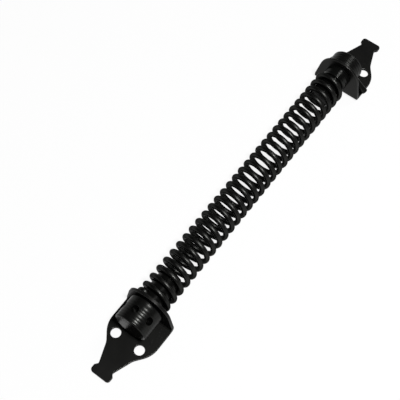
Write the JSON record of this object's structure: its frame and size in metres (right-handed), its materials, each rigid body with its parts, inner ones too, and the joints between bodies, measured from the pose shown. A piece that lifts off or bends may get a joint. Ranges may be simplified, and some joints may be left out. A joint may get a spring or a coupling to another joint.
{
  "type": "gate spring closer",
  "caption": "Self-closing gate spring: a left-hand coil between two bent screw-on brackets with T-shaped feet, a winding drum with bar holes at one end, a hub with a stop pin at the other.",
  "frame": {"origin": "midway between the adjuster bracket's two screw holes, on the back of its plate", "axes": "+X along the spring from the adjuster bracket to the anchor bracket, +Y across the plates, +Z away from the mounting surface"},
  "size_m": [0.3038, 0.037, 0.0297],
  "materials": {
    "bracket_paint": "semi-gloss black paint on pressed steel",
    "spring_black": "semi-gloss black coating on drawn spring wire",
    "turned_black": "thin glossy black over fine turning marks"
  },
  "bodies": {
    "adjuster_bracket": {"adjuster_bracket": "bracket_paint"},
    "winder": {"adjuster_drum": "turned_black", "adjuster_plug": "turned_black", "coil_spring": "spring_black"},
    "anchor": {"anchor_plug": "turned_black", "anchor_hub": "turned_black", "stop_pin": "turned_black"},
    "anchor_bracket": {"anchor_bracket": "bracket_paint"}
  },
  "joints": [
    {"name": "drum_turn", "type": "hinge", "parent": "adjuster_bracket", "child": "winder", "pos_m": [0.0118, 0, 0.0175], "axis": [1, 0, 0], "continuous": true},
    {"name": "spring_wind", "type": "hinge", "parent": "winder", "child": "anchor", "pos_m": [0.22779, 0, 0.0175], "axis": [1, 0, 0], "range_deg": [-270, 0], "stiffness_Nm_per_rad": 0.85, "deforming": ["coil_spring"]},
    {"name": "bracket_swing", "type": "hinge", "parent": "anchor", "child": "anchor_bracket", "pos_m": [0.22879, 0, 0.0175], "axis": [1, 0, 0], "range_deg": [0, 251]}
  ]
}
